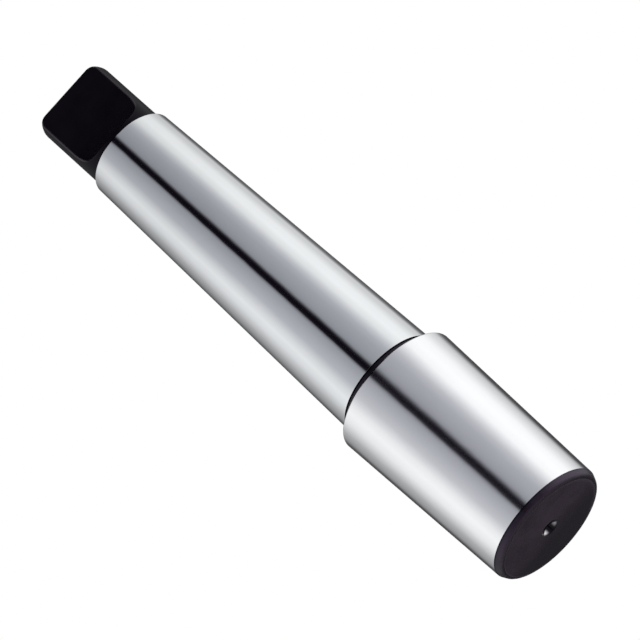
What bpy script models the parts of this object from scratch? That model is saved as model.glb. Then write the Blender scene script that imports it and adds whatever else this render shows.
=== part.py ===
# Drill chuck arbor: a tanged taper shank and a chuck taper, turned and ground from one steel bar.
# It stands on the end face of its chuck taper, with its axis on Z, the tang up
# and the two flats of the tang facing -Y and +Y. Sizes are in metres.

import math

import bmesh
import bpy
from mathutils import Vector

MM = 0.001

# Chuck taper, from the end face at z = 0 up to the shoulder
CHUCK_TAPER_LENGTH = 43.0 * MM
CHUCK_GAUGE_SMALL_DIA = 26.346 * MM     # in the plane of the end face
CHUCK_GAUGE_LARGE_DIA = 28.550 * MM     # one gauge length above it
CHUCK_GAUGE_LENGTH = 42.07 * MM
END_CHAMFER_HEIGHT = 1.5 * MM
END_CHAMFER_WIDTH = 0.65 * MM
END_EDGE_RADIUS = 1.0 * MM              # between the chamfer and the end face
SHOULDER_EDGE_RADIUS = 0.3 * MM

# Relief groove between the shoulder and the shank taper
GROOVE_WIDTH = 2.0 * MM
GROOVE_DEPTH = 0.45 * MM                # below the edge of the shank taper
GROOVE_FILLET = 0.2 * MM
GROOVE_EDGE_RADIUS = 0.1 * MM

# Shank taper
SHANK_LENGTH = 99.0 * MM                # shoulder to the end of the tang
SHANK_GAUGE_DIA = 23.825 * MM
SHANK_GAUGE_OFFSET = 5.0 * MM           # gauge plane above the shoulder
SHANK_TAPER_RUN = 19.922                # length over which the diameter shrinks by one unit
SHANK_EDGE_RADIUS = 0.25 * MM           # small end of the taper

# Tang
TANG_LENGTH = 19.2 * MM                 # small end of the taper to the end of the tang
TANG_DIA = 18.3 * MM
TANG_THICKNESS = 7.9 * MM               # across the two flats
TANG_FLAT_LENGTH = 11.2 * MM            # end of the tang to where the mill starts to lift
TANG_MILL_RADIUS = 7.0 * MM
TANG_CORNER_RADIUS = 1.8 * MM
TANG_NECK_FILLET = 0.3 * MM

# Centre holes in both ends
CENTRE_OPENING_DIA = 4.25 * MM
CENTRE_PILOT_DIA = 2.0 * MM
CENTRE_PILOT_DEPTH = 4.0 * MM           # end face to the end of the full bore
CENTRE_CONE_ANGLE = math.radians(60.0)
DRILL_POINT_ANGLE = math.radians(118.0)

# Fineness of the round surfaces
TURN_STEPS = 96
ARC_TOLERANCE = 0.015 * MM              # most that an arc's chord may stand off the arc

CUTTER_CLEARANCE = 2.0 * MM             # by which a cutter stands outside the bar
MERGE_DISTANCE = 0.001 * MM
ON_SURFACE = 0.02 * MM                  # a face this close to a taper belongs to it
SHARP_ANGLE = math.radians(25.0)

# Finishes: colour, metallic and roughness
GROUND_STEEL = ((0.62, 0.63, 0.65), 1.0, 0.22)
BLACKENED_STEEL = ((0.016, 0.014, 0.018), 0.6, 0.38)

TOTAL_LENGTH = CHUCK_TAPER_LENGTH + SHANK_LENGTH
SHANK_TOP = TOTAL_LENGTH - TANG_LENGTH
GROOVE_TOP = CHUCK_TAPER_LENGTH + GROOVE_WIDTH


def chuck_radius(height):
    growth = (CHUCK_GAUGE_LARGE_DIA - CHUCK_GAUGE_SMALL_DIA) / CHUCK_GAUGE_LENGTH
    return (CHUCK_GAUGE_SMALL_DIA + growth * height) / 2


def shank_radius(height):
    above_gauge = height - CHUCK_TAPER_LENGTH - SHANK_GAUGE_OFFSET
    return (SHANK_GAUGE_DIA - above_gauge / SHANK_TAPER_RUN) / 2


def centre_hole(face_height, into):
    # Corners from the drill point on the axis out to the end face; into is -1 down, +1 up
    opening = CENTRE_OPENING_DIA / 2
    pilot = CENTRE_PILOT_DIA / 2
    cone_depth = (opening - pilot) / math.tan(CENTRE_CONE_ANGLE / 2)
    point_depth = CENTRE_PILOT_DEPTH + pilot / math.tan(DRILL_POINT_ANGLE / 2)
    return [
        (0.0, face_height + into * point_depth, 0.0),
        (pilot, face_height + into * CENTRE_PILOT_DEPTH, 0.0),
        (pilot, face_height + into * cone_depth, 0.0),
        (opening, face_height, 0.0),
    ]


def arbor_corners():
    # Corners of half the section as (radius, height, corner radius), from the tang's
    # centre hole out and down the outer side to the centre hole of the end face
    groove_radius = shank_radius(GROOVE_TOP) - GROOVE_DEPTH
    return [
        *centre_hole(TOTAL_LENGTH, -1),
        (TANG_DIA / 2, TOTAL_LENGTH, TANG_CORNER_RADIUS),
        (TANG_DIA / 2, SHANK_TOP, TANG_NECK_FILLET),
        (shank_radius(SHANK_TOP), SHANK_TOP, SHANK_EDGE_RADIUS),
        (shank_radius(GROOVE_TOP), GROOVE_TOP, GROOVE_EDGE_RADIUS),
        (groove_radius, GROOVE_TOP, GROOVE_FILLET),
        (groove_radius, CHUCK_TAPER_LENGTH, GROOVE_FILLET),
        (chuck_radius(CHUCK_TAPER_LENGTH), CHUCK_TAPER_LENGTH, SHOULDER_EDGE_RADIUS),
        (chuck_radius(END_CHAMFER_HEIGHT), END_CHAMFER_HEIGHT, 0.0),
        (chuck_radius(0.0) - END_CHAMFER_WIDTH, 0.0, END_EDGE_RADIUS),
        *reversed(centre_hole(0.0, 1)),
    ]


def arc_steps(sweep, radius):
    return max(2, math.ceil(abs(sweep) / (2 * math.acos(1 - ARC_TOLERANCE / radius))))


def corner_arc(before, corner, after, radius):
    # Points of the arc that touches both sides of a corner
    to_before = (before - corner).normalized()
    to_after = (after - corner).normalized()
    half_angle = to_before.angle(to_after) / 2
    centre = corner + (to_before + to_after).normalized() * radius / math.sin(half_angle)
    start = corner + to_before * radius / math.tan(half_angle) - centre
    end = corner + to_after * radius / math.tan(half_angle) - centre
    first_angle = math.atan2(start.y, start.x)
    sweep = math.atan2(end.y, end.x) - first_angle
    sweep = (sweep + math.pi) % (2 * math.pi) - math.pi
    steps = arc_steps(sweep, radius)
    angles = [first_angle + sweep * step / steps for step in range(steps + 1)]
    return [centre + Vector((math.cos(angle), math.sin(angle))) * radius for angle in angles]


def rounded_outline(corners):
    places = [Vector(corner[:2]) for corner in corners]
    outline = []
    for index, (place, (_, _, radius)) in enumerate(zip(places, corners)):
        if radius > 0:
            outline += corner_arc(places[index - 1], place, places[index + 1], radius)
        else:
            outline.append(place)
    return outline


def add_turned(name, outline, collection):
    mesh = bpy.data.meshes.new(name)
    turned = bmesh.new()
    verts = [turned.verts.new((point.x, 0.0, point.y)) for point in outline]
    for first, second in zip(verts, verts[1:]):
        turned.edges.new((first, second))
    turned.to_mesh(mesh)
    turned.free()
    piece = bpy.data.objects.new(name, mesh)
    collection.objects.link(piece)
    turn = piece.modifiers.new("Turn", "SCREW")
    turn.axis = "Z"
    turn.angle = 2 * math.pi
    turn.steps = TURN_STEPS
    turn.render_steps = TURN_STEPS
    turn.use_merge_vertices = True
    turn.merge_threshold = MERGE_DISTANCE
    return piece


def add_flat_cutter(side, collection):
    # The path of the mill that cuts one flat: a block whose lower inner edge has the
    # mill's radius, where the mill lifts out of the tang just above the shank's small end.
    inner = TANG_THICKNESS / 2
    outer = max(shank_radius(SHANK_TOP), inner + TANG_MILL_RADIUS) + CUTTER_CLEARANCE
    bottom = TOTAL_LENGTH - TANG_FLAT_LENGTH - TANG_MILL_RADIUS
    top = TOTAL_LENGTH + CUTTER_CLEARANCE
    width = 2 * (shank_radius(SHANK_TOP) + CUTTER_CLEARANCE)
    block = bmesh.new()
    bmesh.ops.create_cube(block, size=1.0)
    bmesh.ops.scale(block, verts=block.verts, vec=(width, outer - inner, top - bottom))
    centre = Vector((0.0, side * (inner + outer) / 2, (bottom + top) / 2))
    bmesh.ops.translate(block, verts=block.verts, vec=centre)
    root = [edge for edge in block.edges
            if all(vert.co.z < centre.z and abs(vert.co.y) < abs(centre.y) for vert in edge.verts)]
    bmesh.ops.bevel(block, geom=root, offset=TANG_MILL_RADIUS, offset_type="OFFSET",
                    affect="EDGES", segments=arc_steps(math.pi / 2, TANG_MILL_RADIUS),
                    profile=0.5, material=-1)
    mesh = bpy.data.meshes.new("flat_cutter")
    block.to_mesh(mesh)
    block.free()
    cutter = bpy.data.objects.new("flat_cutter", mesh)
    cutter.hide_render = True
    cutter.display_type = "WIRE"
    collection.objects.link(cutter)
    return cutter


def cut(piece, cutter):
    flat = piece.modifiers.new("Flat", "BOOLEAN")
    flat.operation = "DIFFERENCE"
    flat.solver = "EXACT"
    flat.object = cutter


def add_material(name, colour, metallic, roughness):
    material = bpy.data.materials.new(name)
    material.use_nodes = True
    shader = material.node_tree.nodes["Principled BSDF"]
    shader.inputs["Base Color"].default_value = (*colour, 1.0)
    shader.inputs["Metallic"].default_value = metallic
    shader.inputs["Roughness"].default_value = roughness
    material.diffuse_color = (*colour, 1.0)
    return material


def is_ground(centre):
    # Only the two tapers are ground; the rest keeps the black skin of the heat treatment
    radius = math.hypot(centre.x, centre.y)
    if END_CHAMFER_HEIGHT < centre.z < CHUCK_TAPER_LENGTH:
        return abs(radius - chuck_radius(centre.z)) < ON_SURFACE
    if GROOVE_TOP < centre.z < SHANK_TOP:
        return abs(radius - shank_radius(centre.z)) < ON_SURFACE
    return False


def finish_surfaces(piece):
    # Applies the turning and the cuts, then gives each face its finish
    depsgraph = bpy.context.evaluated_depsgraph_get()
    mesh = bpy.data.meshes.new_from_object(piece.evaluated_get(depsgraph))
    piece.modifiers.clear()
    piece.data = mesh
    mesh.name = piece.name
    mesh.materials.clear()
    mesh.materials.append(add_material("ground_steel", *GROUND_STEEL))
    mesh.materials.append(add_material("blackened_steel", *BLACKENED_STEEL))
    for face in mesh.polygons:
        face.material_index = 0 if is_ground(face.center) else 1
    mesh.shade_smooth()
    mesh.set_sharp_from_angle(angle=SHARP_ANGLE)


def build_arbor():
    for leftover in list(bpy.data.objects):
        bpy.data.objects.remove(leftover, do_unlink=True)
    parts = bpy.data.collections.new("drill_chuck_arbor")
    cutters = bpy.data.collections.new("cutters")
    bpy.context.scene.collection.children.link(parts)
    bpy.context.scene.collection.children.link(cutters)
    arbor = add_turned("arbor", rounded_outline(arbor_corners()), parts)
    for side in (-1, 1):
        cut(arbor, add_flat_cutter(side, cutters))
    finish_surfaces(arbor)


build_arbor()
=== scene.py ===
import math

import bmesh
import bpy
from mathutils import Matrix, Quaternion, Vector


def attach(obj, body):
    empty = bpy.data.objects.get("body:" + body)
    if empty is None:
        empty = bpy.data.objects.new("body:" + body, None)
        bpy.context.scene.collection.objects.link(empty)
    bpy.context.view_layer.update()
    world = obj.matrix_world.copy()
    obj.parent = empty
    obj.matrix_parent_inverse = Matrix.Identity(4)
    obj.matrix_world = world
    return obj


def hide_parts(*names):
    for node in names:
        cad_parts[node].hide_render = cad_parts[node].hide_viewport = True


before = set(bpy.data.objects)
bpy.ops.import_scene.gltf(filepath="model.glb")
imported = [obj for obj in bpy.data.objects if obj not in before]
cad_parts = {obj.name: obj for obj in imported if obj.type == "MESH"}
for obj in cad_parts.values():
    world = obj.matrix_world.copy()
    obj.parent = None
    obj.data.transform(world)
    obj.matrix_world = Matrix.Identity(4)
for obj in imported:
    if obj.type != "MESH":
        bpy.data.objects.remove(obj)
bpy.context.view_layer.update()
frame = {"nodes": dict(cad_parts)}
print("frame loaded:", ", ".join(frame["nodes"]))

mm = 0.001


photoCamera = {
    "place": (0.0, -0.69716, -0.28552),   # below the end face, in front of the tang's flat
    "aim": (0.000226, 0.0, 0.06582),
    "roll": -48.09,                       # degrees, leans the arbor across the picture
    "lens": 223.07,
    "sensor": 36.0,
}


def addCamera():
    lens = bpy.data.cameras.new("photoCamera")
    lens.lens = photoCamera["lens"]
    lens.sensor_width = photoCamera["sensor"]
    camera = bpy.data.objects.new("photoCamera", lens)
    bpy.context.scene.collection.objects.link(camera)
    place = Vector(photoCamera["place"])
    look = (Vector(photoCamera["aim"]) - place).to_track_quat("-Z", "Y")
    turn = look @ Quaternion((0.0, 0.0, 1.0), math.radians(photoCamera["roll"]))
    camera.matrix_world = Matrix.Translation(place) @ turn.to_matrix().to_4x4()
    bpy.context.scene.camera = camera
    print("camera placed")


addCamera()


def addNode(tree, kind, **settings):
    node = tree.nodes.new(kind)
    for name, value in settings.items():
        setattr(node, name, value)
    return node


def newMaterial(name):
    material = bpy.data.materials.new(name)
    material.use_nodes = True
    return material, material.node_tree, material.node_tree.nodes["Principled BSDF"]


def fillRamp(ramp, stops):
    # stops run from 0 to 1 as (position, colour or grey)
    elements = ramp.color_ramp.elements
    while len(elements) > 1:
        elements.remove(elements[-1])
    for index, (position, colour) in enumerate(stops):
        element = elements[0] if index == 0 else elements.new(position)
        element.position = position
        shade = colour if isinstance(colour, tuple) else (colour, colour, colour)
        element.color = (*shade, 1.0)


def mappedNoise(tree, scale, detail, stretch=(1.0, 1.0, 1.0), roughness=0.5):
    # noise on the object's own coordinates; stretch is how often it repeats along X, Y and Z
    coords = addNode(tree, "ShaderNodeTexCoord")
    mapping = addNode(tree, "ShaderNodeMapping")
    mapping.inputs["Scale"].default_value = stretch
    noise = addNode(tree, "ShaderNodeTexNoise")
    noise.inputs["Scale"].default_value = scale
    noise.inputs["Detail"].default_value = detail
    noise.inputs["Roughness"].default_value = roughness
    tree.links.new(coords.outputs["Object"], mapping.inputs["Vector"])
    tree.links.new(mapping.outputs["Vector"], noise.inputs["Vector"])
    return noise.outputs["Fac"]


def axisDistance(tree):
    # how far a point lies from the Z axis
    coords = addNode(tree, "ShaderNodeTexCoord")
    flat = addNode(tree, "ShaderNodeVectorMath", operation="MULTIPLY")
    flat.inputs[1].default_value = (1.0, 1.0, 0.0)
    length = addNode(tree, "ShaderNodeVectorMath", operation="LENGTH")
    tree.links.new(coords.outputs["Object"], flat.inputs[0])
    tree.links.new(flat.outputs["Vector"], length.inputs[0])
    return length.outputs["Value"]


def ranged(tree, value, low, high):
    node = addNode(tree, "ShaderNodeMapRange")
    node.inputs["To Min"].default_value = low
    node.inputs["To Max"].default_value = high
    tree.links.new(value, node.inputs["Value"])
    return node.outputs["Result"]


def between(tree, value, first, second):
    # from 0 at the first limit to 1 at the second, and flat past them
    node = addNode(tree, "ShaderNodeMapRange")
    node.inputs["From Min"].default_value = first
    node.inputs["From Max"].default_value = second
    tree.links.new(value, node.inputs["Value"])
    return node.outputs["Result"]


def rings(tree, stops):
    # a value that changes with the distance from the Z axis, by (radius in mm, value)
    reach = 1.05 * stops[-1][0]
    place = addNode(tree, "ShaderNodeMath", operation="MULTIPLY")
    place.inputs[1].default_value = 1 / (reach * mm)
    ramp = addNode(tree, "ShaderNodeValToRGB")
    fillRamp(ramp, [(radius / reach, value) for radius, value in stops])
    tree.links.new(axisDistance(tree), place.inputs[0])
    tree.links.new(place.outputs["Value"], ramp.inputs["Fac"])
    return ramp.outputs["Color"]


def addBump(tree, height, strength, distance, below=None):
    bump = addNode(tree, "ShaderNodeBump")
    bump.inputs["Strength"].default_value = strength
    bump.inputs["Distance"].default_value = distance
    tree.links.new(height, bump.inputs["Height"])
    if below is not None:
        tree.links.new(below, bump.inputs["Normal"])
    return bump.outputs["Normal"]


def blended(tree, value, first, second):
    mix = addNode(tree, "ShaderNodeMix", data_type="RGBA")
    mix.inputs["A"].default_value = (*first, 1.0)
    mix.inputs["B"].default_value = (*second, 1.0)
    tree.links.new(value, mix.inputs["Factor"])
    return mix.outputs["Result"]


groundSteel = {
    "chuckColour": (0.80, 0.80, 0.805),
    "shankColour": (0.758, 0.768, 0.771),
    "patchSize": 6.0 * mm,
    "patchStretch": (1.0, 1.0, 0.5),
    "patchShade": 0.94,                    # brightness of the duller patches
    "chuckRoughness": (0.12, 0.17),
    "shankRoughness": (0.06, 0.10),
    "anisotropy": 0.8,
    "alongAxis": 0.25,                     # quarter turn, so that light spreads along the axis
    "lineFineness": 9.0,                   # grinding marks to the millimetre
    "lineStretch": (0.004, 0.004, 1.0),    # they run round the axis
    "lineHeight": 0.0006 * mm,
    "lineStrength": 0.6,
    "waveLength": 5.0 * mm,                # the wheel leaves the surface slightly uneven
    "waveStretch": (1.0, 1.0, 0.6),
    "waveHeight": 0.030 * mm,
}


def addGroundSteel(name, colour, roughness):
    material, tree, shader = newMaterial(name)
    lines = mappedNoise(tree, groundSteel["lineFineness"] / mm, detail=3.0,
                        stretch=groundSteel["lineStretch"])
    patches = mappedNoise(tree, 1 / groundSteel["patchSize"], detail=4.0,
                          stretch=groundSteel["patchStretch"])
    dull = tuple(groundSteel["patchShade"] * channel for channel in colour)
    tree.links.new(blended(tree, patches, dull, colour), shader.inputs["Base Color"])
    tree.links.new(ranged(tree, lines, *roughness), shader.inputs["Roughness"])
    waves = mappedNoise(tree, 1 / groundSteel["waveLength"], detail=2.0,
                        stretch=groundSteel["waveStretch"])
    uneven = addBump(tree, waves, 1.0, groundSteel["waveHeight"])
    ground = addBump(tree, lines, groundSteel["lineStrength"], groundSteel["lineHeight"], uneven)
    tree.links.new(ground, shader.inputs["Normal"])
    around = addNode(tree, "ShaderNodeTangent", direction_type="RADIAL", axis="Z")
    tree.links.new(around.outputs["Tangent"], shader.inputs["Tangent"])
    shader.inputs["Metallic"].default_value = 1.0
    shader.inputs["Anisotropic"].default_value = groundSteel["anisotropy"]
    shader.inputs["Anisotropic Rotation"].default_value = groundSteel["alongAxis"]
    return material


blackSkin = {
    "tangColours": ((0.0030, 0.0022, 0.0040), (0.0048, 0.0036, 0.0062)),
    "tangGloss": 0.05,
    "grooveColours": ((0.0030, 0.0024, 0.0036), (0.0058, 0.0046, 0.0066)),
    "grooveGloss": 0.33,
    "faceColours": ((0.0145, 0.0080, 0.0155), (0.0370, 0.0220, 0.0375)),
    "faceGloss": 0.43,
    "glossTint": (0.80, 0.63, 0.95),
    "roughness": (0.22, 0.32),
    "patches": 110.0,                      # mottling of the heat treatment, per metre
    "patchSpread": (0.35, 0.65),           # noise levels of the darkest and the palest patches
    "grain": 5000.0,
    "grainHeight": 0.004 * mm,
    "grainStrength": 0.25,
    "ringPitch": 0.22 * mm,                # turning marks on the end face
    "ringWaver": 0.6,
    "ringHeight": 0.002 * mm,
    "ringStrength": 0.2,
    "facePaintedShade": (0.0035, 0.0022, 0.0045),  # painted shade: the end face darkens towards +Y
    "facePaintedShadeFrom": (-1.0 * mm, 5.0 * mm),
    "facePaintedShadeShare": 0.85,
    "rimColour": (0.0030, 0.0022, 0.0045),
    "rim": (12.4 * mm, 13.25 * mm),
    "rimPaintedSheenColour": (0.060, 0.049, 0.065),
    "rimPaintedSheen": ((11.1, 0.0), (12.0, 0.6), (12.6, 1.0), (13.0, 1.0), (13.3, 0.7)),   # painted sheen on the rim, by radius in mm
    "rimPaintedSheenFrom": (3.5 * mm, 8.5 * mm),   # the painted sheen lies only towards +X
    "rimPaintedHighlightColour": (0.055, 0.043, 0.058),
    "rimPaintedHighlight": ((11.6, 0.0), (11.95, 1.0), (12.3, 1.0), (12.8, 0.0)),               # painted highlight ring round the flat face, by radius in mm
    "taperEdgeLine": (1.15 * mm, 1.35 * mm),        # heights where the chamfer turns metallic just below the taper's edge, which darkens it
    "taperEdgeLineMetal": 0.6,
    "edgeRoundAndPaintedHighlight": 0.6 * mm,                  # how far the tang's edges are rounded for shading, and the width of the painted highlight along them
    "edgePaintedHighlightTurn": (0.999, 0.96),             # cosine of the edge's turn, from no painted highlight to full
    "edgePaintedHighlightFrom": (7.2 * mm, 7.9 * mm),      # only this far out from the middle of the tang
    "edgePaintedHighlightColour": (0.064, 0.059, 0.067),
}


def addBlackSkin(name, colours, gloss):
    material, tree, shader = newMaterial(name)
    patches = mappedNoise(tree, blackSkin["patches"], detail=5.0, roughness=0.6)
    grain = mappedNoise(tree, blackSkin["grain"], detail=2.0)
    spread = between(tree, patches, *blackSkin["patchSpread"])
    tree.links.new(blended(tree, spread, *colours), shader.inputs["Base Color"])
    tree.links.new(ranged(tree, patches, *blackSkin["roughness"]), shader.inputs["Roughness"])
    rough = addBump(tree, grain, blackSkin["grainStrength"], blackSkin["grainHeight"])
    tree.links.new(rough, shader.inputs["Normal"])
    shader.inputs["Specular IOR Level"].default_value = gloss
    shader.inputs["Specular Tint"].default_value = (*blackSkin["glossTint"], 1.0)
    return material


def mixedInto(tree, shader, amount, colour):
    # lays a second colour over the one that the shader already has
    mix = addNode(tree, "ShaderNodeMix", data_type="RGBA")
    mix.inputs["B"].default_value = (*colour, 1.0)
    tree.links.new(amount, mix.inputs["Factor"])
    tree.links.new(shader.inputs["Base Color"].links[0].from_socket, mix.inputs["A"])
    tree.links.new(mix.outputs["Result"], shader.inputs["Base Color"])


def addTangSkin(name):
    # the edges catch the light: there the normal turns, and a painted highlight lightens the skin
    # along them
    material = addBlackSkin(name, blackSkin["tangColours"], blackSkin["tangGloss"])
    tree = material.node_tree
    shader = tree.nodes["Principled BSDF"]
    rounded = addNode(tree, "ShaderNodeBevel", samples=8)
    rounded.inputs["Radius"].default_value = blackSkin["edgeRoundAndPaintedHighlight"]
    surface = addNode(tree, "ShaderNodeNewGeometry")
    turn = addNode(tree, "ShaderNodeVectorMath", operation="DOT_PRODUCT")
    tree.links.new(rounded.outputs["Normal"], turn.inputs[0])
    tree.links.new(surface.outputs["Normal"], turn.inputs[1])
    edge = between(tree, turn.outputs["Value"], *blackSkin["edgePaintedHighlightTurn"])
    coords = addNode(tree, "ShaderNodeTexCoord")
    parts = addNode(tree, "ShaderNodeSeparateXYZ")
    aside = addNode(tree, "ShaderNodeMath", operation="ABSOLUTE")
    edgePaintedHighlight = addNode(tree, "ShaderNodeMath", operation="MULTIPLY")
    tree.links.new(coords.outputs["Object"], parts.inputs["Vector"])
    tree.links.new(parts.outputs["X"], aside.inputs[0])
    tree.links.new(edge, edgePaintedHighlight.inputs[0])
    tree.links.new(between(tree, aside.outputs["Value"], *blackSkin["edgePaintedHighlightFrom"]), edgePaintedHighlight.inputs[1])
    # painted highlight along the tang's edges
    mixedInto(tree, shader, edgePaintedHighlight.outputs["Value"], blackSkin["edgePaintedHighlightColour"])
    grain = shader.inputs["Normal"].links[0].from_node
    tree.links.new(rounded.outputs["Normal"], grain.inputs["Normal"])
    return material


def addFaceSkin(name):
    # the end face and its chamfer: turning marks, painted shade over the half towards +Y, a
    # blacker rim with a painted sheen to one side, a painted highlight ring round the flat face,
    # and a darker metallic line at the taper
    material = addBlackSkin(name, blackSkin["faceColours"], blackSkin["faceGloss"])
    tree = material.node_tree
    shader = tree.nodes["Principled BSDF"]
    coords = addNode(tree, "ShaderNodeTexCoord")
    wave = addNode(tree, "ShaderNodeTexWave", wave_type="RINGS", rings_direction="Z")
    # at a scale of 1 the texture's rings lie pi / 10 apart
    wave.inputs["Scale"].default_value = math.pi / 10 / blackSkin["ringPitch"]
    wave.inputs["Distortion"].default_value = blackSkin["ringWaver"]
    tree.links.new(coords.outputs["Object"], wave.inputs["Vector"])
    turned = addBump(tree, wave.outputs["Fac"], blackSkin["ringStrength"], blackSkin["ringHeight"],
                     shader.inputs["Normal"].links[0].from_socket)
    tree.links.new(turned, shader.inputs["Normal"])
    parts = addNode(tree, "ShaderNodeSeparateXYZ")
    tree.links.new(coords.outputs["Object"], parts.inputs["Vector"])
    # painted shade: the end face darkens towards +Y
    paintedShade = between(tree, parts.outputs["Y"], *blackSkin["facePaintedShadeFrom"])
    paintedShadeShare = ranged(tree, paintedShade, 0.0, blackSkin["facePaintedShadeShare"])
    mixedInto(tree, shader, paintedShadeShare, blackSkin["facePaintedShade"])
    rim = between(tree, axisDistance(tree), *blackSkin["rim"])
    mixedInto(tree, shader, rim, blackSkin["rimColour"])
    # painted sheen on the rim towards +X
    paintedSheen = addNode(tree, "ShaderNodeMath", operation="MULTIPLY")
    tree.links.new(rings(tree, blackSkin["rimPaintedSheen"]), paintedSheen.inputs[0])
    tree.links.new(between(tree, parts.outputs["X"], *blackSkin["rimPaintedSheenFrom"]), paintedSheen.inputs[1])
    mixedInto(tree, shader, paintedSheen.outputs["Value"], blackSkin["rimPaintedSheenColour"])
    # painted highlight ring where the flat face rounds into the chamfer
    mixedInto(tree, shader, rings(tree, blackSkin["rimPaintedHighlight"]), blackSkin["rimPaintedHighlightColour"])
    # the chamfer turns metallic just below the taper's edge, which darkens it there
    taperEdgeLine = between(tree, parts.outputs["Z"], *blackSkin["taperEdgeLine"])
    tree.links.new(ranged(tree, taperEdgeLine, 0.0, blackSkin["taperEdgeLineMetal"]), shader.inputs["Metallic"])
    return material


# painted glints: two spots of bright metal in the black cone of each hole, to its two sides
centreCone = {
    "skin": (0.020, 0.017, 0.022),
    "paintedGlint": (0.58, 0.57, 0.58),
    "ring": ((1.46, 0.0), (1.65, 1.0), (1.86, 1.0), (2.02, 0.0)),   # radius in mm
    "spots": (0.60 * mm, 1.40 * mm),       # how far to the sides they begin
    "weakSpot": 0.35,                      # the one towards +X is fainter
    "middle": 0.5 * mm,                    # where the one side's strength turns into the other's
    "marks": 4000.0,
    "markStretch": (0.2, 0.2, 1.0),
    "roughness": (0.07, 0.13),
}


def addConeSteel(name):
    material, tree, shader = newMaterial(name)
    marks = mappedNoise(tree, centreCone["marks"], detail=3.0,
                        stretch=centreCone["markStretch"])
    coords = addNode(tree, "ShaderNodeTexCoord")
    parts = addNode(tree, "ShaderNodeSeparateXYZ")
    aside = addNode(tree, "ShaderNodeMath", operation="ABSOLUTE")
    spots = addNode(tree, "ShaderNodeMath", operation="MULTIPLY")
    paintedGlint = addNode(tree, "ShaderNodeMath", operation="MULTIPLY")
    tree.links.new(coords.outputs["Object"], parts.inputs["Vector"])
    tree.links.new(parts.outputs["X"], aside.inputs[0])
    # the painted glints lie on a ring of the cone, to its two sides
    tree.links.new(between(tree, aside.outputs["Value"], *centreCone["spots"]), spots.inputs[0])
    plusSide = between(tree, parts.outputs["X"], -centreCone["middle"], centreCone["middle"])
    tree.links.new(ranged(tree, plusSide, 1.0, centreCone["weakSpot"]), spots.inputs[1])
    tree.links.new(rings(tree, centreCone["ring"]), paintedGlint.inputs[0])
    tree.links.new(spots.outputs["Value"], paintedGlint.inputs[1])
    colour = blended(tree, paintedGlint.outputs["Value"], centreCone["skin"], centreCone["paintedGlint"])
    tree.links.new(colour, shader.inputs["Base Color"])
    tree.links.new(ranged(tree, marks, *centreCone["roughness"]), shader.inputs["Roughness"])
    shader.inputs["Metallic"].default_value = 1.0
    return material


# in millimetres and degrees, with heights above the end face
arborSizes = {
    "length": 142.0,
    "chuckLength": 43.0,                   # chuck taper, from the end face up to the shoulder
    "chuckEndDia": 26.346,
    "chuckGrowth": 2.204 / 42.07,          # gain in diameter over the taper's gauge length
    "chamferHeight": 1.5,
    "chamferWidth": 0.65,
    "chamferRound": 0.08,                  # where it meets the taper
    "endEdgeRound": 1.0,                   # where it meets the end face
    "shoulderRound": 0.3,
    "grooveTop": 45.0,
    "grooveDepth": 0.45,
    "grooveRound": 0.2,
    "grooveEdgeRound": 0.1,
    "gaugeHeight": 48.0,                   # where the shank taper has its gauge diameter
    "gaugeDia": 23.825,
    "shankRun": 19.922,                    # length over which the diameter shrinks by one
    "shankTop": 122.8,
    "shankEdgeRound": 0.25,
    "tangDia": 18.3,
    "tangThickness": 7.9,
    "tangFlat": 11.2,                      # end of the tang to where the mill starts to lift
    "tangCorner": 1.8,
    "neckRound": 0.3,
    "holeDia": 4.25,                       # mouth of the centre holes
    "holeAngle": 60.0,
    "holeEdgeBreak": 0.06,
    "pilotDia": 2.0,
    "pilotDepth": 4.0,
    "drillAngle": 118.0,
    "turnSteps": 256,
    "roundSteps": 6,
    "turnMerge": 0.0005,
    "sharpAngle": 32.0,
    "millRadius": 7.0,
    "millBlock": (30.0, 12.0, 26.0),       # space that the mill sweeps along one flat
    "millSteps": 40,
    "millMerge": 0.004,
    "onFlat": 0.01,                        # most that a point of a flat stands off it
    "onRoot": 0.02,
    "millEdgeAngle": 24.0,
    "millEdgesFrom": 2.0,                  # below the small end of the shank
    "edgeBreak": 0.2,                      # edges of the two flats
    "edgeSteps": 3,
    "holeZone": 5.0,                       # a centre hole lies within this of its end face
    "holeMouth": 0.02,                     # and its mouth within this
    "chuckSkin": 0.25,                     # depth under a taper that still counts as ground
    "shankSkin": 0.26,
    "shankEnd": 0.1,
}


def chuckRadius(height):
    return (arborSizes["chuckEndDia"] + arborSizes["chuckGrowth"] * height) / 2


def shankRadius(height):
    above = height - arborSizes["gaugeHeight"]
    return (arborSizes["gaugeDia"] - above / arborSizes["shankRun"]) / 2


def centreHole(face, into):
    # from the drill's point out to the face, as radius, height and rounding
    size = arborSizes
    mouth, pilot = size["holeDia"] / 2, size["pilotDia"] / 2
    coneDepth = (mouth - pilot) / math.tan(math.radians(size["holeAngle"] / 2))
    tip = size["pilotDepth"] + pilot / math.tan(math.radians(size["drillAngle"] / 2))
    return [
        (0.0, face + into * tip, 0.0),
        (pilot, face + into * size["pilotDepth"], 0.0),
        (pilot, face + into * coneDepth, 0.0),
        (mouth, face, size["holeEdgeBreak"]),
    ]


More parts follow.
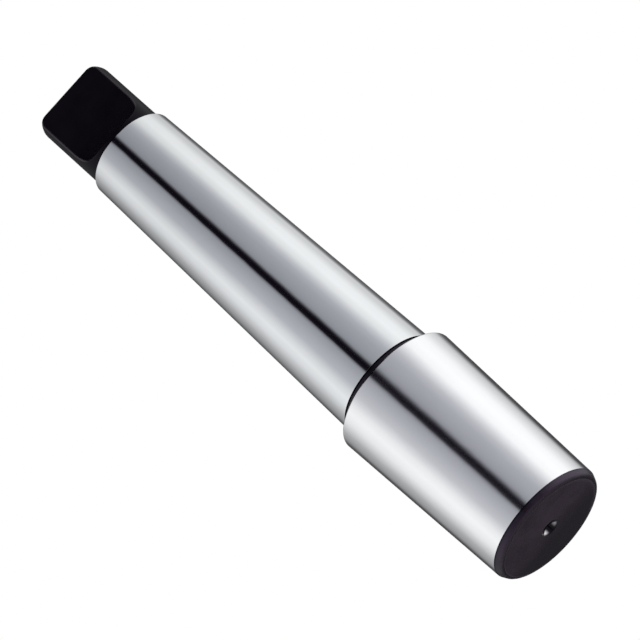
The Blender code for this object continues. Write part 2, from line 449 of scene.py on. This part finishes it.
def halfSection():
    # corners of half the section as radius, height and rounding, from the tang's end down
    size = arborSizes
    top, length, chuck = size["shankTop"], size["length"], size["chuckLength"]
    tang = size["tangDia"] / 2
    groove = shankRadius(size["grooveTop"]) - size["grooveDepth"]
    return [
        *centreHole(length, -1),
        (tang, length, size["tangCorner"]),
        (tang, top, size["neckRound"]),
        (shankRadius(top), top, size["shankEdgeRound"]),
        (shankRadius(size["grooveTop"]), size["grooveTop"], size["grooveEdgeRound"]),
        (groove, size["grooveTop"], size["grooveRound"]),
        (groove, chuck, size["grooveRound"]),
        (chuckRadius(chuck), chuck, size["shoulderRound"]),
        (chuckRadius(size["chamferHeight"]), size["chamferHeight"], size["chamferRound"]),
        (chuckRadius(0.0) - size["chamferWidth"], 0.0, size["endEdgeRound"]),
        *reversed(centreHole(0.0, 1)),
    ]


def turnedBar():
    # the outline is drawn, its corners are rounded, and it is spun about Z
    bar = bmesh.new()
    corners = halfSection()
    verts = [bar.verts.new((radius, 0.0, height)) for radius, height, _ in corners]
    for first, second in zip(verts, verts[1:]):
        bar.edges.new((first, second))
    rounded = []
    for before, vert, after, (_, _, radius) in zip(verts, verts[1:], verts[2:], corners[1:]):
        if radius > 0:
            angle = (before.co - vert.co).angle(after.co - vert.co)
            rounded.append((vert, radius / math.tan(angle / 2)))
    for vert, offset in rounded:
        bmesh.ops.bevel(bar, geom=[vert], offset=offset, offset_type="OFFSET",
                        affect="VERTICES", segments=arborSizes["roundSteps"],
                        profile=0.5, material=-1)
    bmesh.ops.spin(bar, geom=bar.verts[:] + bar.edges[:], cent=(0, 0, 0), axis=(0, 0, 1),
                   angle=2 * math.pi, steps=arborSizes["turnSteps"], use_merge=True)
    bmesh.ops.remove_doubles(bar, verts=bar.verts[:], dist=arborSizes["turnMerge"])
    bmesh.ops.recalc_face_normals(bar, faces=bar.faces[:])
    return bar


def millPath(side):
    # the block that the mill sweeps along one flat, with its own radius at the root
    size = arborSizes
    _, depth, height = size["millBlock"]
    aside = size["tangThickness"] / 2 + depth / 2
    middle = size["length"] - size["tangFlat"] - size["millRadius"] + height / 2
    path = bmesh.new()
    bmesh.ops.create_cube(path, size=1.0)
    bmesh.ops.scale(path, vec=size["millBlock"], verts=path.verts)
    bmesh.ops.translate(path, vec=(0.0, side * aside, middle), verts=path.verts)
    root = [edge for edge in path.edges
            if all(vert.co.z < middle and abs(vert.co.y) < aside for vert in edge.verts)]
    bmesh.ops.bevel(path, geom=root, offset=size["millRadius"], offset_type="OFFSET",
                    affect="EDGES", segments=size["millSteps"], profile=0.5, material=-1)
    return path


def toObject(mesh, name):
    data = bpy.data.meshes.new(name)
    mesh.to_mesh(data)
    mesh.free()
    piece = bpy.data.objects.new(name, data)
    bpy.context.scene.collection.objects.link(piece)
    return piece


def millFlats(piece):
    cutters = [toObject(millPath(side), "millPath") for side in (-1, 1)]
    for cutter in cutters:
        flat = piece.modifiers.new("flat", "BOOLEAN")
        flat.operation = "DIFFERENCE"
        flat.solver = "EXACT"
        flat.object = cutter
    settled = piece.evaluated_get(bpy.context.evaluated_depsgraph_get())
    milled = bmesh.new()
    milled.from_mesh(settled.to_mesh())
    piece.modifiers.clear()
    for cutter in cutters:
        bpy.data.objects.remove(cutter, do_unlink=True)
    return milled


def onMillPath(point):
    # true on a flat or on the curve that the mill leaves at its root
    size = arborSizes
    inner = size["tangThickness"] / 2
    lift = size["length"] - size["tangFlat"]
    if point.z >= lift:
        return abs(abs(point.y) - inner) < size["onFlat"]
    reach = math.hypot(abs(point.y) - inner - size["millRadius"], point.z - lift)
    return abs(reach - size["millRadius"]) < size["onRoot"]


def breakEdges(milled):
    size = arborSizes
    bmesh.ops.remove_doubles(milled, verts=milled.verts[:], dist=size["millMerge"])
    sharpAngle = math.radians(size["millEdgeAngle"])
    lowest = size["shankTop"] - size["millEdgesFrom"]
    sharp = [edge for edge in milled.edges
             if len(edge.link_faces) == 2 and edge.calc_face_angle(0.0) > sharpAngle
             and all(onMillPath(vert.co) for vert in edge.verts)
             and edge.verts[0].co.z > lowest]
    bmesh.ops.bevel(milled, geom=sharp, offset=size["edgeBreak"], offset_type="OFFSET",
                    affect="EDGES", segments=size["edgeSteps"], profile=0.5, material=-1,
                    clamp_overlap=True)


def finishOf(centre):
    # the name of the material that a face carries, by where it lies on the bar
    size = arborSizes
    radius = math.hypot(centre.x, centre.y)
    depth = min(centre.z, size["length"] - centre.z)
    if radius < size["holeDia"] / 2 and depth <= size["holeZone"]:
        return "coneSteel" if depth > size["holeMouth"] else "faceBlack"
    if centre.z < size["chamferHeight"]:
        return "faceBlack"
    if centre.z < size["chuckLength"] and radius > chuckRadius(centre.z) - size["chuckSkin"]:
        return "chuckSteel"
    if centre.z < size["grooveTop"]:
        return "grooveBlack"
    onShank = radius > shankRadius(centre.z) - size["shankSkin"]
    if centre.z < size["shankTop"] + size["shankEnd"] and onShank:
        return "shankSteel"
    return "tangBlack"


def arborMaterials():
    steel, skin = groundSteel, blackSkin
    return [
        addGroundSteel("chuckSteel", steel["chuckColour"], steel["chuckRoughness"]),
        addGroundSteel("shankSteel", steel["shankColour"], steel["shankRoughness"]),
        addTangSkin("tangBlack"),
        addFaceSkin("faceBlack"),
        addConeSteel("coneSteel"),
        addBlackSkin("grooveBlack", skin["grooveColours"], skin["grooveGloss"]),
    ]


def addArbor():
    piece = toObject(turnedBar(), "turnedArbor")
    milled = millFlats(piece)
    breakEdges(milled)
    bmesh.ops.recalc_face_normals(milled, faces=milled.faces[:])
    materials = arborMaterials()
    slots = {material.name: index for index, material in enumerate(materials)}
    for face in milled.faces:
        face.material_index = slots[finishOf(face.calc_center_median())]
        face.smooth = True
    bmesh.ops.scale(milled, vec=(mm, mm, mm), verts=milled.verts)
    milled.to_mesh(piece.data)
    milled.free()
    for material in materials:
        piece.data.materials.append(material)
    piece.data.set_sharp_from_angle(angle=math.radians(arborSizes["sharpAngle"]))
    weighted = piece.modifiers.new("evenShading", "WEIGHTED_NORMAL")
    weighted.keep_sharp = True
    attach(piece, "root")
    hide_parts("arbor")
    print("arbor turned and milled:", len(piece.data.polygons), "faces")


addArbor()


paleFloor = {
    "radius": 2.0,
    "hole": 11.9 * mm,   # hidden under the end face, which the photo shows from below
    "steps": 128,
    "colour": (0.84, 0.84, 0.84),
    "roughness": 0.9,
    "gloss": 0.1,
}


def addFloor():
    floor = bmesh.new()
    rim = bmesh.ops.create_circle(floor, segments=paleFloor["steps"],
                                  radius=paleFloor["hole"])["verts"]
    edges = {edge for vert in rim for edge in vert.link_edges}
    outer = bmesh.ops.extrude_edge_only(floor, edges=list(edges))["geom"]
    outer = [part for part in outer if isinstance(part, bmesh.types.BMVert)]
    growth = paleFloor["radius"] / paleFloor["hole"]
    bmesh.ops.scale(floor, vec=(growth, growth, 1.0), verts=outer)
    bmesh.ops.recalc_face_normals(floor, faces=floor.faces[:])
    if floor.faces[:][0].normal.z < 0:
        bmesh.ops.reverse_faces(floor, faces=floor.faces[:])
    piece = toObject(floor, "paleFloor")
    material, tree, shader = newMaterial("paleFloor")
    shader.inputs["Base Color"].default_value = (*paleFloor["colour"], 1.0)
    shader.inputs["Roughness"].default_value = paleFloor["roughness"]
    shader.inputs["Specular IOR Level"].default_value = paleFloor["gloss"]
    under = addNode(tree, "ShaderNodeNewGeometry")   # seen from below the floor is open
    clear = addNode(tree, "ShaderNodeBsdfTransparent")
    choose = addNode(tree, "ShaderNodeMixShader")
    tree.links.new(under.outputs["Backfacing"], choose.inputs["Fac"])
    tree.links.new(shader.outputs["BSDF"], choose.inputs[1])
    tree.links.new(clear.outputs["BSDF"], choose.inputs[2])
    output = tree.nodes["Material Output"]
    tree.links.new(choose.outputs["Shader"], output.inputs["Surface"])
    piece.data.materials.append(material)
    piece.visible_glossy = False
    print("floor laid")


addFloor()


# The walls' strength is given by compass angle in degrees: 0 is the side that the front
# flat of the tang faces, and positive angles turn towards +X. The chuck taper mirrors the
# lower wall and the shank the upper one.
lightTent = {
    "lowerWall": [
        (-180, 0.09), (-154, 0.075), (-141, 0.34), (-122, 0.52), (-96, 1.05), (-80, 1.17),
        (-66, 1.06), (-48, 0.69), (-30, 0.54), (-18, 0.44), (-13.5, 0.32), (-10, 0.02),
        (-3, 0.006), (1, 0.036), (8, 0.355), (14, 0.42), (34, 0.51), (46, 0.65), (67, 1.23),
        (84, 1.29), (101, 1.22), (133, 0.69), (144, 0.19), (150, 0.065), (180, 0.09),
    ],
    "upperWall": [
        (-180, 0.075), (-168, 0.07), (-160, 0.135), (-154, 0.155), (-141, 0.30), (-122, 0.51),
        (-96, 0.93), (-80, 1.045), (-66, 0.90), (-48, 0.60), (-30, 0.49), (-18, 0.40),
        (-14.4, 0.28), (-11, 0.008), (-3.5, 0.003), (0.8, 0.02), (7.3, 0.34), (14, 0.39),
        (34, 0.466), (46, 0.556), (56, 0.73), (67, 1.0), (84, 1.175), (101, 1.13), (122, 0.825),
        (133, 0.765), (144, 0.245), (152, 0.14), (166, 0.12), (180, 0.075),
    ],
    "neutralFrom": 105,             # compass angle past which the wall is neutral, not cool
    "red": (0.985, -0.02, 0.002),   # share of the grey, what its depth adds, and offset
    "blue": (1.01, 0.16, 0.003),
    "radius": 0.9,
    "steps": 96,
    "foot": -3.0,
    "top": 9.0,
    "change": (0.43, 0.52),         # heights between which the lower wall turns into the upper
    "fade": (0.58, 0.69),           # heights between which the wall dims
    "faded": 0.88,
    "ground": (0.38, 0.38, 0.39),   # the lowest wall and the floor of the tent
    "groundFrom": (-0.36, -0.95),   # heights between which the wall turns into it
}

# a black card across the open top
blackFlag = {
    "width": 0.6,
    "span": (-0.85, 0.70),
    "height": 0.9,
}

studioLight = {
    "white": 1.0,
    "ambient": 0.62,
    "panelPower": 11.0,
    "panelSize": 1.2,
    "panelPlace": (-0.7, -0.9, 1.5),
}


def coolGrey(level, angle):
    # white stays neutral, and in front the darker a grey is the bluer it gets
    depth = max(0.0, 1.0 - level) if abs(angle) < lightTent["neutralFrom"] else 0.0
    red, blue = (level * (share + added * depth) + offset
                 for share, added, offset in (lightTent["red"], lightTent["blue"]))
    return (red, level, blue)


def wallRamp(tree, compass, stops):
    ramp = addNode(tree, "ShaderNodeValToRGB")
    fillRamp(ramp, [(angle / 360 + 0.5, coolGrey(level, angle)) for angle, level in stops])
    tree.links.new(compass, ramp.inputs["Fac"])
    return ramp.outputs["Color"]


def onlyReflected(piece):
    piece.visible_camera = False
    piece.visible_diffuse = False
    piece.visible_transmission = False
    piece.visible_shadow = False


def addTent():
    tent = bmesh.new()
    bmesh.ops.create_cone(tent, cap_ends=True, segments=lightTent["steps"],
                          radius1=lightTent["radius"], radius2=lightTent["radius"],
                          depth=lightTent["top"] - lightTent["foot"])
    lid = [face for face in tent.faces if face.normal.z > 0.5]
    bmesh.ops.delete(tent, geom=lid, context="FACES")
    bmesh.ops.translate(tent, vec=(0.0, 0.0, (lightTent["top"] + lightTent["foot"]) / 2),
                        verts=tent.verts)
    piece = toObject(tent, "lightTent")
    material = bpy.data.materials.new("lightTent")
    material.use_nodes = True
    tree = material.node_tree
    tree.nodes.remove(tree.nodes["Principled BSDF"])
    coords = addNode(tree, "ShaderNodeTexCoord")
    parts = addNode(tree, "ShaderNodeSeparateXYZ")
    behind = addNode(tree, "ShaderNodeMath", operation="MULTIPLY")
    behind.inputs[1].default_value = -1.0
    compass = addNode(tree, "ShaderNodeMath", operation="ARCTAN2")
    turn = addNode(tree, "ShaderNodeMath", operation="MULTIPLY_ADD")
    turn.inputs[1].default_value = 1 / (2 * math.pi)
    turn.inputs[2].default_value = 0.5
    tree.links.new(coords.outputs["Object"], parts.inputs["Vector"])
    tree.links.new(parts.outputs["Y"], behind.inputs[0])
    tree.links.new(parts.outputs["X"], compass.inputs[0])
    tree.links.new(behind.outputs["Value"], compass.inputs[1])
    tree.links.new(compass.outputs["Value"], turn.inputs[0])
    height = parts.outputs["Z"]
    walls = addNode(tree, "ShaderNodeMix", data_type="RGBA")
    tree.links.new(between(tree, height, *lightTent["change"]), walls.inputs["Factor"])
    for socket, wall in (("A", "lowerWall"), ("B", "upperWall")):
        ramp = wallRamp(tree, turn.outputs["Value"], lightTent[wall])
        tree.links.new(ramp, walls.inputs[socket])
    whole = addNode(tree, "ShaderNodeMix", data_type="RGBA")
    whole.inputs["B"].default_value = (*lightTent["ground"], 1.0)
    tree.links.new(between(tree, height, *lightTent["groundFrom"]), whole.inputs["Factor"])
    tree.links.new(walls.outputs["Result"], whole.inputs["A"])
    glow = addNode(tree, "ShaderNodeEmission")
    tree.links.new(whole.outputs["Result"], glow.inputs["Color"])
    fade = between(tree, height, *lightTent["fade"])
    tree.links.new(ranged(tree, fade, 1.0, lightTent["faded"]), glow.inputs["Strength"])
    tree.links.new(glow.outputs["Emission"], tree.nodes["Material Output"].inputs["Surface"])
    material.cycles.emission_sampling = "NONE"
    piece.data.materials.append(material)
    onlyReflected(piece)


def addFlag():
    near, far = blackFlag["span"]
    card = bmesh.new()
    bmesh.ops.create_grid(card, x_segments=1, y_segments=1, size=0.5)
    bmesh.ops.scale(card, vec=(blackFlag["width"], far - near, 1.0), verts=card.verts)
    bmesh.ops.translate(card, vec=(0.0, (near + far) / 2, blackFlag["height"]), verts=card.verts)
    piece = toObject(card, "blackFlag")
    material, _, shader = newMaterial("blackFlag")
    shader.inputs["Base Color"].default_value = (0.0, 0.0, 0.0, 1.0)
    shader.inputs["Specular IOR Level"].default_value = 0.0
    piece.data.materials.append(material)
    onlyReflected(piece)


def addWorld():
    world = bpy.data.worlds.new("studio")
    world.use_nodes = True
    bpy.context.scene.world = world
    tree = world.node_tree
    soft = tree.nodes["Background"]
    soft.inputs["Color"].default_value = (1.0, 1.0, 1.0, 1.0)
    soft.inputs["Strength"].default_value = studioLight["ambient"]
    white = addNode(tree, "ShaderNodeBackground")
    white.inputs["Color"].default_value = (1.0, 1.0, 1.0, 1.0)
    white.inputs["Strength"].default_value = studioLight["white"]
    path = addNode(tree, "ShaderNodeLightPath")
    seen = addNode(tree, "ShaderNodeMath", operation="MAXIMUM")
    shown = addNode(tree, "ShaderNodeMath", operation="MAXIMUM")
    choose = addNode(tree, "ShaderNodeMixShader")
    tree.links.new(path.outputs["Is Camera Ray"], seen.inputs[0])
    tree.links.new(path.outputs["Is Glossy Ray"], seen.inputs[1])
    tree.links.new(seen.outputs["Value"], shown.inputs[0])
    tree.links.new(path.outputs["Is Transmission Ray"], shown.inputs[1])
    tree.links.new(shown.outputs["Value"], choose.inputs["Fac"])
    tree.links.new(soft.outputs["Background"], choose.inputs[1])
    tree.links.new(white.outputs["Background"], choose.inputs[2])
    tree.links.new(choose.outputs["Shader"], tree.nodes["World Output"].inputs["Surface"])


def addPanel():
    lamp = bpy.data.lights.new("overheadPanel", "AREA")
    lamp.energy = studioLight["panelPower"]
    lamp.size = studioLight["panelSize"]
    panel = bpy.data.objects.new("overheadPanel", lamp)
    bpy.context.scene.collection.objects.link(panel)
    place = Vector(studioLight["panelPlace"])
    look = (-place).to_track_quat("-Z", "Y")
    panel.matrix_world = Matrix.Translation(place) @ look.to_matrix().to_4x4()
    panel.visible_glossy = False


addTent()
addFlag()
addWorld()
addPanel()
bpy.context.scene.view_settings.view_transform = "Standard"
print("light set")
